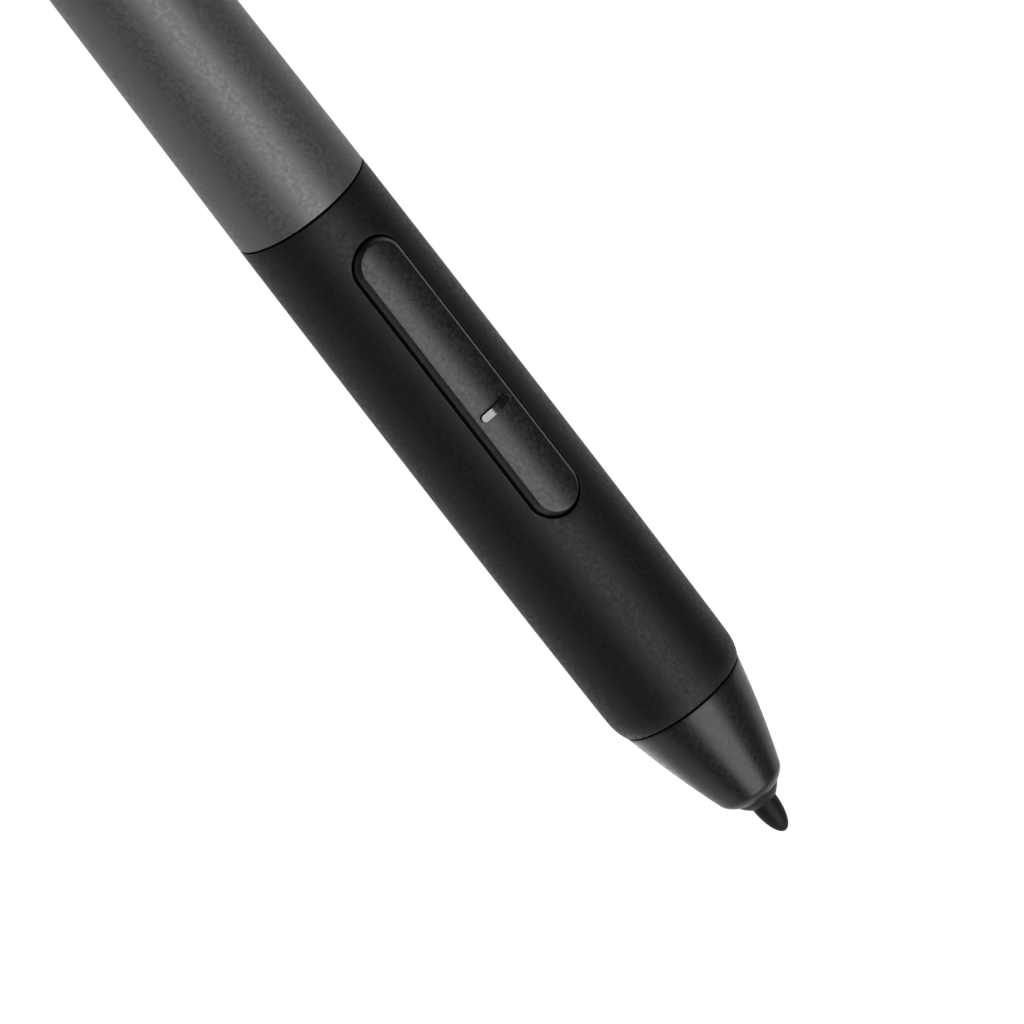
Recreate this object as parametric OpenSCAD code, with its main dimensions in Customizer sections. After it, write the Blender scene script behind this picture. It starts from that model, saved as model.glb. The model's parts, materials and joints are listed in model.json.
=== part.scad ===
// Digitiser pen for a pen display: a battery-free stylus with a two-way rocker and a pull-out nib.
// Millimetres. The pen lies along X with its nib towards +X and its rocker towards +Z.
// Places along the pen are distances behind the nib's point, so they grow towards the tail.

/* [Overall] */
// Length from the nib's point to the end of the tail cap
overall_length = 162; // [150:1:180]
// Radial gap between shells that plug into each other and do not move
fit_gap = 0.05; // [0.02:0.01:0.1]
// Gap along the pen between parts that stop each other
seat_gap = 0.1; // [0.05:0.05:0.2]
// Edge break on both sides of each seam between shells
seam_break = 0.1; // [0.05:0.05:0.2]

/* [Nib] */
// Length of nib that shows ahead of its collar
nib_exposed = 3.1; // [2:0.1:4]
// Diameter of the nib where it leaves the collar
nib_diameter = 2.26; // [2:0.02:2.6]
// Diameter of the nib's stem
nib_stem_diameter = 1.7; // [1.2:0.1:1.8]
// Length of the taper between the nib's point end and its stem
nib_taper = 0.3; // [0.2:0.1:1]
// Length of stem that the nib holder grips
nib_hold = 3.4; // [2.5:0.1:4]
// Distance that the nib goes in under full pressure
nib_travel = 0.4; // [0.2:0.1:0.8]
// Radial running clearance of the nib in its guide
nib_clearance = 0.08; // [0.04:0.01:0.1]
// Radial clearance of the stem in the nib holder
stem_clearance = 0.03; // [0.02:0.01:0.06]

/* [Nib guide] */
// Length of collar that shows ahead of the nose cone
collar_exposed = 0.9; // [0.7:0.1:2]
// Diameter of the collar where it meets the nose cone
collar_diameter = 4.08; // [3.7:0.02:4.14]
// Width of the collar's flat front lip
collar_lip = 0.06; // [0.02:0.02:0.2]
// How far the collar swells past a straight cone
collar_bulge = 0.06; // [0:0.01:0.1]
// Diameter of the guide's body inside the nose cone
guide_diameter = 3.4; // [3:0.1:3.6]
// Length of the guide's body inside the nose cone
guide_length = 3.9; // [2:0.1:5]

/* [Nose cone] */
// Length from the nose cone's front edge to its seam with the grip
nose_length = 10.35; // [9:0.05:14]
// Diameter of the nose cone where its front rounding starts
nose_front_diameter = 6.02; // [5.4:0.02:7]
// Diameter of the nose cone's front edge
nose_edge_diameter = 4.16; // [4.16:0.02:4.6]
// Length of the rounding between the front edge and the flank
nose_front_round = 1; // [0.5:0.05:1.5]
// Diameter of the nose cone at its seam with the grip
nose_seam_diameter = 11.22; // [10.6:0.02:11.6]
// How far the flank swells past a straight cone
nose_bulge = 0.16; // [0:0.01:0.4]
// Wall at the floor of the coil bay
nose_floor = 0.5; // [0.4:0.1:1]

/* [Grip barrel] */
// Length from the nose seam to the rear barrel's seam
grip_length = 51.75; // [50:0.25:60]
// Largest diameter of the grip
grip_diameter = 12.4; // [12.1:0.1:13.4]
// Distance from the nose seam to the largest diameter
grip_belly = 26.7; // [20:0.1:32]
// How much the radius falls from the belly to the nose seam, before the shoulder
grip_front_drop = 0.17; // [0:0.01:0.3]
// How much the radius falls from the belly to the rear barrel's seam
grip_rear_drop = 0.065; // [0:0.005:0.2]
// Length of the rounded shoulder at the nose seam
shoulder_length = 2.3; // [1.5:0.1:4]
// Thickness of the grip's wall at its belly
grip_wall = 1.5; // [1.3:0.05:1.7]
// Length of the tenon that plugs into the rear barrel
tenon_length = 8; // [5:0.5:12]
// Thickness of the tenon's wall
tenon_wall = 0.5; // [0.4:0.05:0.6]

/* [Rocker] */
// Distance from the nose seam to the front end of the rocker's slot
slot_setback = 19.45; // [18:0.05:20]
// Length of the slot
slot_length = 28.3; // [26:0.1:29]
// Width of the slot
slot_width = 4.92; // [4.8:0.02:5.6]
// Gap round the rocker
rocker_gap = 0.19; // [0.17:0.01:0.3]
// Height of the rocker's crown above the belly of the grip
rocker_proud = 0.55; // [0.3:0.05:0.7]
// Thickness of the rocker from crown to underside
rocker_depth = 2.55; // [2.3:0.05:2.7]
// Width of the slope round the rocker's top
edge_width = 0.33; // [0.2:0.01:0.5]
// Height of that slope
edge_height = 0.5; // [0.2:0.01:0.6]
// Distance from the slot's front end to the pivot
pivot_setback = 10.8; // [10.2:0.05:12]
// Depth of the pivot under the rocker's underside
pivot_drop = 1.2; // [1.1:0.05:1.4]
// Length of the cross rib on the crown
rib_length = 3.2; // [2:0.1:3.6]
// Width of the cross rib along the pen
rib_width = 0.75; // [0.5:0.05:1.5]
// Height of the cross rib above the crown
rib_height = 0.25; // [0.1:0.05:0.5]
// Depth of the rib's root in the rocker
rib_seat = 0.6; // [0.4:0.05:1]

/* [Rocker pivot] */
// Diameter of the pivot pin
pin_diameter = 1; // [0.8:0.05:1.1]
// Radial running clearance of the rocker on its pin
pin_clearance = 0.04; // [0.02:0.01:0.08]
// Radial gap of the pin in the chassis ears
pin_seat = 0.02; // [0.01:0.01:0.03]
// Half the width of the rocker's lug
lug_half_width = 1.5; // [1.2:0.05:1.55]
// Gap between the lug and each ear
lug_gap = 0.2; // [0.1:0.05:0.3]
// Thickness of each ear
ear_thickness = 0.9; // [0.7:0.05:1]
// Gap between the ears and the rocker's underside
ear_gap = 0.3; // [0.25:0.05:0.4]

/* [Switches] */
// Distance from the pivot to each switch
switch_arm = 8; // [7:0.1:8.2]
// Length of a switch case along the pen
switch_length = 3.2; // [2.6:0.1:3.4]
// Width of a switch case
switch_width = 3.4; // [2.6:0.1:4]
// Height of a switch case
switch_height = 1.4; // [1.2:0.1:1.6]
// Diameter of a switch stem
stem_diameter = 1.5; // [1.2:0.1:1.8]
// Height of a switch stem above its case
stem_height = 0.6; // [0.5:0.05:0.8]
// Depth of a switch stem inside its case
stem_depth = 0.45; // [0.3:0.05:0.5]
// Depth of the well in a switch case
stem_well = 0.8; // [0.75:0.05:0.9]
// Gap between a stem and the rocker's nub
nub_gap = 0.04; // [0.03:0.01:0.06]
// Diameter of the rocker's nubs
nub_diameter = 1.4; // [1:0.1:1.6]

/* [Board] */
// Width of the circuit board
board_width = 8.2; // [8:0.1:8.3]
// Thickness of the circuit board
board_thickness = 0.8; // [0.6:0.1:1]
// Height of the board's top face above the pen's axis
board_top = 0.4; // [0.3:0.05:0.5]
// Length of board ahead of the lower switch's case
board_lead = 0.4; // [0.3:0.1:0.6]
// Gap between the board and what it stands in
board_gap = 0.05; // [0.03:0.01:0.08]
// Side of the square controller chip
chip_side = 4; // [3:0.5:5]
// Height of the controller chip
chip_height = 0.85; // [0.6:0.05:1]
// Distance from the upper switch to the chip's near side
chip_setback = 4; // [2.5:0.5:6]
// Length, width and height of a tuning capacitor
capacitor_size = [1.6, 0.8, 0.8];
// Number of tuning capacitors in each of the two rows
capacitor_count = 4; // [1:1:5]
// Spacing of the capacitors along a row
capacitor_pitch = 2.4; // [2:0.1:2.6]
// Distance of each row from the board's centre line
capacitor_offset = 1.8; // [1:0.1:3]

/* [Chassis] */
// Radial gap between the chassis and the grip's bore
chassis_gap = 0.1; // [0.05:0.05:0.15]
// Thickness of the trough under the board
trough_wall = 1; // [0.8:0.05:1]
// Height of the side rails above the board's top face
rail_height = 0.6; // [0.3:0.1:0.8]
// Length of chassis behind the grip's tenon
chassis_tail = 7; // [5:0.5:12]
// Thickness of the wall behind the board
chassis_end_wall = 1.5; // [1:0.1:2]
// Extra length of the web under the ears, on each side
web_margin = 0.4; // [0.2:0.1:1]
// Thickness of the cushion behind the chassis
cushion_length = 0.8; // [0.5:0.1:1.5]
// Width of the cushion's ring
cushion_width = 1.1; // [0.8:0.1:1.5]

/* [Coil] */
// Outer diameter of the ferrite core
core_diameter = 4.2; // [3.6:0.1:4.4]
// Radial room for the nib inside the core
core_clearance = 0.12; // [0.1:0.01:0.3]
// Thickness of the bobbin's tube
bobbin_wall = 0.35; // [0.3:0.05:0.4]
// Diameter of the bobbin's flanges
flange_diameter = 6.6; // [6.4:0.1:6.7]
// Thickness of the bobbin's flanges
flange_thickness = 0.6; // [0.4:0.1:1]
// Length of the bobbin's spigot in the chassis
bobbin_spigot = 2; // [1.5:0.1:2.2]
// Thickness of the winding
winding_thickness = 0.48; // [0.2:0.02:0.5]
// Radial gap between the coil bay and the flanges
bay_gap = 0.1; // [0.05:0.05:0.2]
// Diameter of the coil's leads
lead_diameter = 0.24; // [0.2:0.02:0.3]
// Distance of each lead from the pen's centre plane
lead_offset = 3.05; // [2.95:0.05:3.1]
// Length of each lead that lies on the board
lead_on_board = 2.4; // [1:0.1:3]

/* [Pressure sensor] */
// Outer diameter of the sensor's housing
sensor_diameter = 5.4; // [5.2:0.05:5.5]
// Diameter of the nib holder
holder_diameter = 3.4; // [3:0.1:3.6]
// Thickness of the nib holder behind the stem
holder_floor = 2.1; // [1:0.1:2.2]
// Width of the slits that let the nib holder grip
slit_width = 0.3; // [0.2:0.05:0.5]
// Radial running clearance of the nib holder
holder_clearance = 0.05; // [0.03:0.01:0.1]
// Diameter of the nib holder's plunger
plunger_diameter = 2; // [1.6:0.1:2.4]
// Length of the bore that guides the plunger
plunger_guide = 1.1; // [0.8:0.1:1.2]
// Room behind the holder's shoulder at full travel
shoulder_room = 0.3; // [0.2:0.05:0.4]
// Thickness of the silicone pad
pad_thickness = 0.8; // [0.6:0.1:0.9]
// Diameter of the silicone pad
pad_diameter = 3; // [2.6:0.1:3.4]
// Diameter of the sensor disc
disc_diameter = 3.8; // [3.2:0.1:3.9]
// Thickness of the sensor disc
disc_thickness = 1; // [0.5:0.1:1.1]
// Length of the sensor cap's plug
cap_plug = 1.4; // [1:0.1:1.5]
// Thickness of the sensor cap's flange
cap_flange = 0.6; // [0.4:0.1:0.7]

/* [Rear barrel and tail] */
// Diameter of the rear barrel at its seam with the grip
rear_seam_diameter = 12.25; // [12.1:0.01:13]
// Diameter of the rear barrel at its seam with the tail cap
tail_diameter = 10.6; // [10:0.1:11.4]
// Thickness of the rear barrel's wall at the tail
rear_wall = 1.05; // [0.8:0.05:1.4]
// Length of the tail cap that shows
tail_length = 7; // [5:0.5:10]
// Length of the tail cap's domed end
tail_dome = 2; // [1:0.1:4]
// How far the tail cap's land lies inside the barrel's surface
tail_step = 0.05; // [0:0.01:0.2]
// Length of the tail cap's plug inside the barrel
tail_plug = 6; // [4:0.5:10]
// Thickness of the tail cap's wall
tail_wall = 1.1; // [0.8:0.1:1.4]

/* [Hidden] */
$fn = 96;

// Overshoot of cutting bodies
over = 1;
// Bands in each curved outline
nib_bands = 8;
round_bands = 4;
nose_bands = 8;
shoulder_bands = 5;
grip_bands = 6;
dome_bands = 8;

// Where the nib's point and the pen's axis lie
point_x = overall_length / 2;
axis_z = grip_diameter / 2;

// Seams, behind the nib's point
collar_at = nib_exposed;
nose_at = collar_at + collar_exposed;
grip_at = nose_at + nose_length;
rear_at = grip_at + grip_length;
tail_at = overall_length - tail_length;
belly_at = grip_at + grip_belly;
flank_at = nose_at + nose_front_round;

// Outer radii
nib_r = nib_diameter / 2;
stem_r = nib_stem_diameter / 2;
collar_r = collar_diameter / 2;
guide_r = guide_diameter / 2;
nose_front_r = nose_front_diameter / 2;
nose_edge_r = nose_edge_diameter / 2;
nose_seam_r = nose_seam_diameter / 2;
grip_r = grip_diameter / 2;
rear_seam_r = rear_seam_diameter / 2;
tail_r = tail_diameter / 2;
tail_land_r = tail_r - tail_step;

// Bores and plugs
grip_bore_r = grip_r - grip_wall;
nose_spigot_r = grip_bore_r - fit_gap;
tenon_r = grip_bore_r + tenon_wall;
chassis_r = grip_bore_r - chassis_gap;
plug_bore_r = tail_r - rear_wall;
shoulder_drop = grip_r - grip_front_drop - nose_seam_r;

// Rocker
slot_front = grip_at + slot_setback;
slot_rear = slot_front + slot_length;
slot_half = slot_width / 2;
rocker_half = slot_half - rocker_gap;
rocker_front = slot_front + rocker_gap;
rocker_rear = slot_rear - rocker_gap;
pivot_at = slot_front + pivot_setback;
crown_r = grip_r + rocker_proud;
rocker_under = crown_r - rocker_depth;
rib_top_r = crown_r + rib_height;
rib_root = crown_r - rib_seat;
crown_half = rocker_half - edge_width;
edge_z = sqrt(crown_r * crown_r - crown_half * crown_half) - edge_height;
edge_top_z = crown_r + edge_height;
edge_top_half = rocker_half - edge_width * (edge_top_z - edge_z) / edge_height;
pivot_z = rocker_under - pivot_drop;
pin_r = pin_diameter / 2;
ear_r = pivot_drop - ear_gap;
ear_inner = lug_half_width + lug_gap;
ear_outer = ear_inner + ear_thickness;

// Switches
lower_switch_at = pivot_at - switch_arm;
upper_switch_at = pivot_at + switch_arm;
switch_top = board_top + switch_height;
stem_top = switch_top + stem_height;
switch_stem_r = stem_diameter / 2;

// Board and chassis
board_bottom = board_top - board_thickness;
board_at = lower_switch_at - switch_length / 2 - board_lead;
chassis_end = rear_at + tenon_length + chassis_tail;
board_end = chassis_end - chassis_end_wall - board_gap;
rail_top = board_top + rail_height;
trough_r = chassis_r - trough_wall;
chip_at = upper_switch_at + chip_setback;
capacitors_at = chip_at + chip_side + capacitor_pitch;
cushion_at = chassis_end + board_gap;
bay_end = cushion_at + cushion_length + board_gap;
cushion_r = chassis_r - seat_gap;

// Pressure sensor, from the board forwards
cap_end = board_at - 2 * board_gap - seat_gap;
cap_at = cap_end - cap_flange;
disc_end = cap_at - cap_plug;
disc_at = disc_end - disc_thickness;
pad_end = disc_at - board_gap;
pad_at = pad_end - pad_thickness;
plunger_end = pad_at - board_gap;
chamber_at = plunger_end - seat_gap;
guide_step_at = chamber_at - plunger_guide;
holder_shoulder = guide_step_at - shoulder_room - nib_travel;
stem_end = holder_shoulder - holder_floor;
holder_at = stem_end - nib_hold;
sensor_r = sensor_diameter / 2;
holder_r = holder_diameter / 2;
plunger_r = plunger_diameter / 2;
chamber_r = disc_diameter / 2 + holder_clearance;

// Coil, between the nose and the sensor
bobbin_end = holder_at - seat_gap;
coil_end = bobbin_end - bobbin_spigot;
chassis_at = coil_end + seat_gap;
nose_spigot_end = chassis_at - 2 * seat_gap;
guide_end = nose_at + guide_length;
bay_at = guide_end + nose_floor;
coil_at = bay_at + 2 * seat_gap;
core_r = core_diameter / 2;
core_bore_r = nib_r + core_clearance;
bobbin_bore_r = core_r + fit_gap;
bobbin_r = bobbin_bore_r + bobbin_wall;
flange_r = flange_diameter / 2;
coil_bay_r = flange_r + bay_gap;
lead_r = lead_diameter / 2;
lead_z = board_top + lead_r + board_gap / 2;

// Colours
grip_black = "#2a2a2c";
gloss_black = "#161617";
paint_grey = "#55565a";
moulded_grey = "#3c3d40";
steel = "#b4b6b8";
board_green = "#2e5a3c";
ferrite_grey = "#4a4846";
copper = "#b5703a";
silicone = "#c9c4b8";

// Evenly spaced places from one to another
function steps(from, to, bands) = [for (i = [0:bands]) from + (to - from) * i / bands];

// Radius of each curved outline at a place behind the nib's point
function nib_radius(at) = nib_r * sqrt(1 - pow(1 - at / nib_exposed, 2));
function collar_radius(at) =
  let (t = (at - collar_at) / collar_exposed, lip = nib_r + nib_clearance + collar_lip)
  lip + (collar_r - lip) * t + 4 * collar_bulge * t * (1 - t);
function nose_radius(at) =
  let (t = (at - flank_at) / (grip_at - flank_at))
  nose_front_r + (nose_seam_r - nose_front_r) * t + 4 * nose_bulge * t * (1 - t);
function belly_radius(at) = at < belly_at
  ? grip_r - grip_front_drop * pow((belly_at - at) / (belly_at - grip_at), 2)
  : grip_r - grip_rear_drop * pow((at - belly_at) / (rear_at - belly_at), 2);
function shoulder_radius(at) =
  belly_radius(at) - shoulder_drop * pow(1 - (at - grip_at) / shoulder_length, 3);
function dome_radius(at) =
  tail_land_r * sqrt(1 - pow((at - overall_length + tail_dome) / tail_dome, 2));

// Points of a curve from one point to another that leans towards a corner
function eased(start, corner, end, bands) = [
  for (i = [0:bands]) let (t = i / bands)
    start * pow(1 - t, 2) + corner * 2 * t * (1 - t) + end * pow(t, 2)
];

// The pen's own frame: its Z runs from the nib's point to the tail and its X points up
module along_pen() {
  translate([point_x, 0, axis_z]) rotate([0, -90, 0]) children();
}

// Solid of revolution about the pen's axis from points of [place, radius]
module turned(outline) {
  along_pen() rotate_extrude() polygon([for (p = outline) [p[1], p[0]]]);
}

module tube(at, end, outer_r, inner_r) {
  turned([[at, inner_r], [end, inner_r], [end, outer_r], [at, outer_r]]);
}

module rod(at, end, r, y = 0, z = 0) {
  along_pen() translate([z, y, at]) cylinder(h = end - at, r = r);
}

module block(at, end, y1, y2, z1, z2) {
  along_pen() translate([z1, y1, at]) cube([z2 - z1, y2 - y1, end - at]);
}

// Cylinder across the pen
module cross_rod(at, z, r, y1, y2) {
  translate([point_x - at, y1, axis_z + z]) rotate([-90, 0, 0]) cylinder(h = y2 - y1, r = r);
}

// Upright cylinder
module post(at, r, z1, z2) {
  translate([point_x - at, 0, axis_z + z1]) cylinder(h = z2 - z1, r = r);
}

// Upright prism with round ends
module pill(at, end, half, z1, z2) {
  translate([point_x, 0, axis_z + z1]) linear_extrude(z2 - z1) {
    translate([half - end, -half]) square([end - at - 2 * half, 2 * half]);
    for (centre = [at + half, end - half])
      translate([-centre, 0]) circle(half);
  }
}

module nib() {
  taper_at = guide_end + seat_gap;
  color(gloss_black) turned(concat(
    [for (at = steps(0, nib_exposed, nib_bands)) [at, nib_radius(at)]],
    [[taper_at, nib_r], [taper_at + nib_taper, stem_r], [stem_end - board_gap, stem_r],
     [stem_end - board_gap, 0]]
  ));
}

module nib_guide() {
  bore_r = nib_r + nib_clearance;
  color(moulded_grey) turned(concat(
    [[guide_end, bore_r], [collar_at, bore_r]],
    [for (at = steps(collar_at, nose_at, nib_bands)) [at, collar_radius(at)]],
    [[nose_at, guide_r], [guide_end, guide_r]]
  ));
}

module nose_cone() {
  front_bore_r = guide_r + fit_gap;
  corner_at = (nose_at + flank_at) / 2;
  corner = [corner_at, nose_radius(corner_at)];
  color(gloss_black) turned(concat(
    [[bay_at, front_bore_r], [nose_at, front_bore_r]],
    eased([nose_at, nose_edge_r], corner, [flank_at, nose_front_r], round_bands),
    [for (at = steps(flank_at, grip_at - seam_break, nose_bands)) if (at > flank_at) [at, nose_radius(at)]],
    [[grip_at, nose_seam_r - seam_break], [grip_at, nose_spigot_r],
     [nose_spigot_end, nose_spigot_r], [nose_spigot_end, coil_bay_r], [bay_at, coil_bay_r]]
  ));
}

module grip_barrel() {
  shoulder_end = grip_at + shoulder_length;
  rear_edge = rear_at - seam_break;
  tenon_end = rear_at + tenon_length;
  color(grip_black) difference() {
    turned(concat(
      [for (at = steps(grip_at, shoulder_end, shoulder_bands)) [at, shoulder_radius(at)]],
      [for (at = steps(shoulder_end, belly_at, grip_bands)) if (at > shoulder_end) [at, belly_radius(at)]],
      [for (at = steps(belly_at, rear_edge, grip_bands)) if (at > belly_at) [at, belly_radius(at)]],
      [[rear_at, grip_r - grip_rear_drop - seam_break], [rear_at, tenon_r], [tenon_end, tenon_r],
       [tenon_end, grip_bore_r], [grip_at, grip_bore_r]]
    ));
    pill(slot_front, slot_rear, slot_half, 0, crown_r + over);
  }
}

module rear_barrel() {
  socket_r = tenon_r + fit_gap;
  socket_end = rear_at + tenon_length + seat_gap;
  plug_bore_at = tail_at - tail_plug - seat_gap;
  color(paint_grey) turned([
    [rear_at, rear_seam_r - seam_break], [rear_at + seam_break, rear_seam_r],
    [tail_at - seam_break, tail_r], [tail_at, tail_r - seam_break],
    [tail_at, plug_bore_r], [plug_bore_at, plug_bore_r],
    [bay_end, cushion_r - cushion_width / 2], [bay_end, grip_bore_r],
    [socket_end, grip_bore_r], [socket_end, socket_r], [rear_at, socket_r]
  ]);
}

module tail_cap() {
  plug_r = plug_bore_r - fit_gap;
  dome_at = overall_length - tail_dome;
  plug_at = tail_at - tail_plug;
  hollow_r = plug_r - tail_wall;
  color(gloss_black) turned(concat(
    [[plug_at, hollow_r], [plug_at, plug_r], [tail_at, plug_r], [tail_at, tail_land_r - seam_break],
     [tail_at + seam_break, tail_land_r]],
    [for (at = steps(dome_at, overall_length, dome_bands)) [at, dome_radius(at)]],
    [[dome_at - tail_wall, 0], [dome_at - tail_wall, hollow_r]]
  ));
}

// Side, slope and crown of the rocker as [distance from its middle line, height above the axis]
function rocker_flank() =
  [[rocker_half, rocker_under], [rocker_half, edge_z], [edge_top_half, edge_top_z]];

// Upright prism with the rib's outline, so much wider all round, from its root up past the crown
module rib_post(margin) {
  end_r = rib_width / 2 + margin;
  end_y = (rib_length - rib_width) / 2;
  translate([point_x - pivot_at, 0, axis_z + rib_root]) linear_extrude(rib_seat + over) {
    square([2 * end_r, 2 * end_y], center = true);
    for (side = [-1, 1])
      translate([0, side * end_y]) circle(end_r);
  }
}

module rocker_button() {
  flank = rocker_flank();
  front_centre = rocker_front + rocker_half;
  rear_centre = rocker_rear - rocker_half;
  color(grip_black) difference() {
    union() {
      // Cap: a straight middle and two turned ends under one crown
      intersection() {
        union() {
          along_pen() translate([0, 0, front_centre]) linear_extrude(rear_centre - front_centre)
            polygon(concat(
              [for (p = flank) [p[1], p[0]]],
              [for (i = [len(flank) - 1:-1:0]) [flank[i][1], -flank[i][0]]]
            ));
          for (centre = [front_centre, rear_centre])
            translate([point_x - centre, 0, axis_z]) rotate_extrude()
              polygon(concat([[0, rocker_under]], flank, [[0, edge_top_z]]));
        }
        rod(rocker_front - over, rocker_rear + over, crown_r);
      }
      // Lug that turns on the pin
      cross_rod(pivot_at, pivot_z, ear_r, -lug_half_width, lug_half_width);
      block(pivot_at - ear_r, pivot_at + ear_r, -lug_half_width, lug_half_width,
        pivot_z, rocker_under + edge_height);
      // Nubs over the switch stems
      for (at = [lower_switch_at, upper_switch_at])
        post(at, nub_diameter / 2, stem_top + nub_gap, rocker_under + edge_height);
    }
    cross_rod(pivot_at, pivot_z, pin_r + pin_clearance, -lug_half_width - over, lug_half_width + over);
    // Pocket for the rib's root
    rib_post(fit_gap);
  }
}

// Cross rib that marks the pivot, set in the crown
module rocker_rib() {
  color(gloss_black) intersection() {
    rib_post(0);
    rod(pivot_at - rib_width, pivot_at + rib_width, rib_top_r);
  }
}

module rocker_pin() {
  color(steel) cross_rod(pivot_at, pivot_z, pin_r, -ear_outer, ear_outer);
}

module chassis() {
  bay_half = board_width / 2 + board_gap;
  cradle_r = sensor_r + fit_gap;
  cradle_end = board_at - board_gap;
  color(moulded_grey) difference() {
    union() {
      difference() {
        intersection() {
          rod(chassis_at, chassis_end, chassis_r);
          block(chassis_at - over, chassis_end + over, -grip_r, grip_r, -grip_r, rail_top);
        }
        block(cradle_end, board_end + board_gap, -bay_half, bay_half, board_bottom, grip_r);
        rod(cradle_end, board_end + board_gap, trough_r);
      }
      // Web across the trough, and the ears that stand on it
      intersection() {
        rod(pivot_at - ear_r - web_margin, pivot_at + ear_r + web_margin, trough_r + fit_gap);
        block(cradle_end, board_end, -grip_r, grip_r, -grip_r, board_bottom);
      }
      for (inner = [ear_inner, -ear_outer]) {
        block(pivot_at - ear_r, pivot_at + ear_r, inner, inner + ear_thickness,
          board_bottom - trough_wall, pivot_z);
        cross_rod(pivot_at, pivot_z, ear_r, inner, inner + ear_thickness);
      }
    }
    // Cradle for the coil's spigot and the pressure sensor, open at the top
    rod(chassis_at - over, cradle_end + over, cradle_r);
    block(chassis_at - over, cradle_end, -grip_r, grip_r, 0, grip_r);
    cross_rod(pivot_at, pivot_z, pin_r + pin_seat, -grip_r, grip_r);
  }
}

module chassis_cushion() {
  color(silicone) tube(cushion_at, cushion_at + cushion_length, cushion_r, cushion_r - cushion_width);
}

module circuit_board() {
  hole_gap = 2 * board_gap;
  color(board_green) difference() {
    block(board_at, board_end, -board_width / 2, board_width / 2, board_bottom, board_top);
    for (inner = [ear_inner, -ear_outer])
      block(pivot_at - ear_r - hole_gap, pivot_at + ear_r + hole_gap,
        inner - hole_gap, inner + ear_thickness + hole_gap, board_bottom - over, board_top + over);
  }
}

module switch_case(at) {
  color(steel) difference() {
    block(at - switch_length / 2, at + switch_length / 2, -switch_width / 2, switch_width / 2,
      board_top, switch_top);
    post(at, switch_stem_r + fit_gap, switch_top - stem_well, switch_top + over);
  }
}

module switch_stem(at) {
  color(gloss_black) post(at, switch_stem_r, switch_top - stem_depth, stem_top);
}

module upper_switch() {
  switch_case(upper_switch_at);
}

module lower_switch() {
  switch_case(lower_switch_at);
}

module upper_switch_stem() {
  switch_stem(upper_switch_at);
}

module lower_switch_stem() {
  switch_stem(lower_switch_at);
}

module controller_chip() {
  color(gloss_black) block(chip_at, chip_at + chip_side, -chip_side / 2, chip_side / 2,
    board_top, board_top + chip_height);
}

module board_capacitors() {
  color(ferrite_grey)
    for (i = [0:capacitor_count - 1], side = [-1, 1]) {
      at = capacitors_at + i * capacitor_pitch;
      y = side * capacitor_offset;
      block(at, at + capacitor_size[0], y - capacitor_size[1] / 2, y + capacitor_size[1] / 2,
        board_top, board_top + capacitor_size[2]);
    }
}

module ferrite_core() {
  color(ferrite_grey) tube(coil_at, coil_end - board_gap, core_r, core_bore_r);
}

module coil_bobbin() {
  front_flange_end = coil_at + flange_thickness;
  rear_flange_at = coil_end - flange_thickness;
  color(moulded_grey) turned([
    [coil_at, bobbin_bore_r], [coil_end, bobbin_bore_r], [coil_end, core_bore_r],
    [bobbin_end, core_bore_r], [bobbin_end, sensor_r], [coil_end, sensor_r], [coil_end, flange_r],
    [rear_flange_at, flange_r], [rear_flange_at, bobbin_r], [front_flange_end, bobbin_r],
    [front_flange_end, flange_r], [coil_at, flange_r]
  ]);
}

module coil_winding() {
  inner_r = bobbin_r + board_gap / 2;
  color(copper) tube(coil_at + flange_thickness + board_gap, coil_end - flange_thickness - board_gap,
    inner_r + winding_thickness, inner_r);
}

module coil_leads() {
  color(copper)
    for (side = [-1, 1])
      rod(coil_end, board_at + lead_on_board, lead_r, side * lead_offset, lead_z);
}

module nib_holder() {
  socket_r = stem_r + stem_clearance;
  color(moulded_grey) difference() {
    turned([
      [holder_at, socket_r], [holder_at, holder_r], [holder_shoulder, holder_r],
      [holder_shoulder, plunger_r], [plunger_end, plunger_r], [plunger_end, 0],
      [stem_end, 0], [stem_end, socket_r]
    ]);
    // Slits that make four gripping fingers
    block(holder_at - over, stem_end, -slit_width / 2, slit_width / 2, -grip_r, grip_r);
    block(holder_at - over, stem_end, -grip_r, grip_r, -slit_width / 2, slit_width / 2);
  }
}

module sensor_housing() {
  bore_r = holder_r + holder_clearance;
  guide_bore_r = plunger_r + holder_clearance;
  color(moulded_grey) turned([
    [bobbin_end + board_gap, bore_r], [guide_step_at, bore_r], [guide_step_at, guide_bore_r],
    [chamber_at, guide_bore_r], [chamber_at, chamber_r], [cap_at, chamber_r], [cap_at, sensor_r],
    [bobbin_end + board_gap, sensor_r]
  ]);
}

module pressure_pad() {
  color(silicone) rod(pad_at, pad_end, pad_diameter / 2);
}

module sensor_disc() {
  color(silicone) rod(disc_at, disc_end, disc_diameter / 2);
}

module sensor_cap() {
  color(moulded_grey) turned([
    [disc_end, 0], [disc_end, disc_diameter / 2], [cap_at, disc_diameter / 2], [cap_at, sensor_r],
    [cap_end, sensor_r], [cap_end, 0]
  ]);
}

nib();
nib_guide();
nose_cone();
grip_barrel();
rear_barrel();
tail_cap();
rocker_button();
rocker_rib();
rocker_pin();
chassis();
chassis_cushion();
circuit_board();
upper_switch();
lower_switch();
upper_switch_stem();
lower_switch_stem();
controller_chip();
board_capacitors();
ferrite_core();
coil_bobbin();
coil_winding();
coil_leads();
nib_holder();
sensor_housing();
pressure_pad();
sensor_disc();
sensor_cap();
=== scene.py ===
"""Looks of a digitiser pen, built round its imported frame.

The pen lies along X with its nib towards +X and its rocker towards +Z. Lengths are in metres.
Places along the pen are distances behind the nib's point, so they grow towards the tail.
"""

import json
import math

import bpy
from mathutils import Matrix, Vector


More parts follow.
